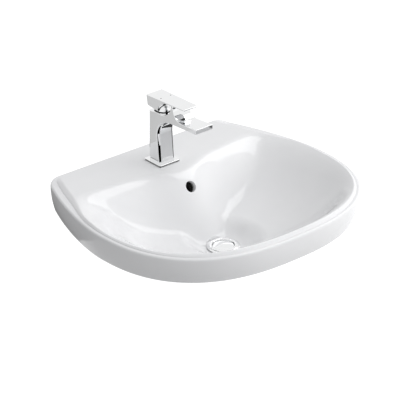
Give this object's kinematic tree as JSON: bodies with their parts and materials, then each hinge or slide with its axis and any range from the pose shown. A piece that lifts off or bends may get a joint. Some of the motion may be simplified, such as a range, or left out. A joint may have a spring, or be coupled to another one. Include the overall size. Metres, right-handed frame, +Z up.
{
  "type": "wall-hung basin",
  "caption": "Wall-hung washbasin with a D-shaped bowl, a rear tap deck, a single-lever tap that turns and lifts, and a click waste.",
  "frame": {"origin": "midway between the two wall-fixing holes, on the face that lies on the wall", "axes": "+X to the right along the wall as the basin is faced, +Y into the wall, +Z up"},
  "size_m": [0.56, 0.474, 0.321],
  "materials": {
    "ceramic": "white glaze, high gloss",
    "chrome": "polished chrome plate",
    "brass": "turned brass",
    "steel": "zinc plated or stainless steel",
    "rubber": "black rubber",
    "white_plastic": "moulded plastic",
    "grey_plastic": "moulded plastic",
    "disc_ceramic": "lapped technical ceramic",
    "dot_enamel": "grey enamel"
  },
  "bodies": {
    "basin": {"basin_body": "ceramic", "tap_body": "chrome", "base_plate": "chrome", "base_seal": "rubber", "cartridge_seal": "rubber", "cartridge_housing": "white_plastic", "fixed_disc": "disc_ceramic", "cartridge_nut": "brass", "aerator_shell": "chrome", "aerator_insert": "white_plastic", "aerator_seal": "rubber", "tap_stud": "brass", "clamp_pad": "rubber", "clamp_plate": "steel", "stud_nut": "brass", "waste_body": "chrome", "waste_top_seal": "rubber", "click_housing": "white_plastic", "click_spring": "steel", "cone_seal": "rubber", "slip_washer": "white_plastic", "back_nut": "brass"},
    "turret": {"lever_carrier": "grey_plastic", "pivot_pin": "steel", "dome_cap": "chrome"},
    "lever": {"lever": "chrome", "lever_stem": "steel", "lever_screw": "steel", "index_dots": "dot_enamel"},
    "disc": {"moving_disc": "disc_ceramic"},
    "plug": {"waste_plug": "chrome", "plug_seal": "rubber"}
  },
  "joints": [
    {"name": "lever_turn", "type": "hinge", "parent": "basin", "child": "turret", "pos_m": [0, -0.082, 0.183], "axis": [0, 0, 1], "range_deg": [-45, 45]},
    {"name": "lever_lift", "type": "hinge", "parent": "turret", "child": "lever", "pos_m": [0, -0.082, 0.183], "axis": [-1, 0, 0], "range_deg": [0, 20]},
    {"name": "disc_slide", "type": "slide", "parent": "turret", "child": "disc", "axis": [0, -1, 0], "range_m": [0, 0.0054]},
    {"name": "plug_lift", "type": "slide", "parent": "basin", "child": "plug", "axis": [0, 0, 1], "range_m": [0, 0.008], "deforming": ["click_spring"]}
  ],
  "couplings": [
    {"joint": "disc_slide", "follows": "lever_lift", "m_per_rad": 0.0152}
  ]
}
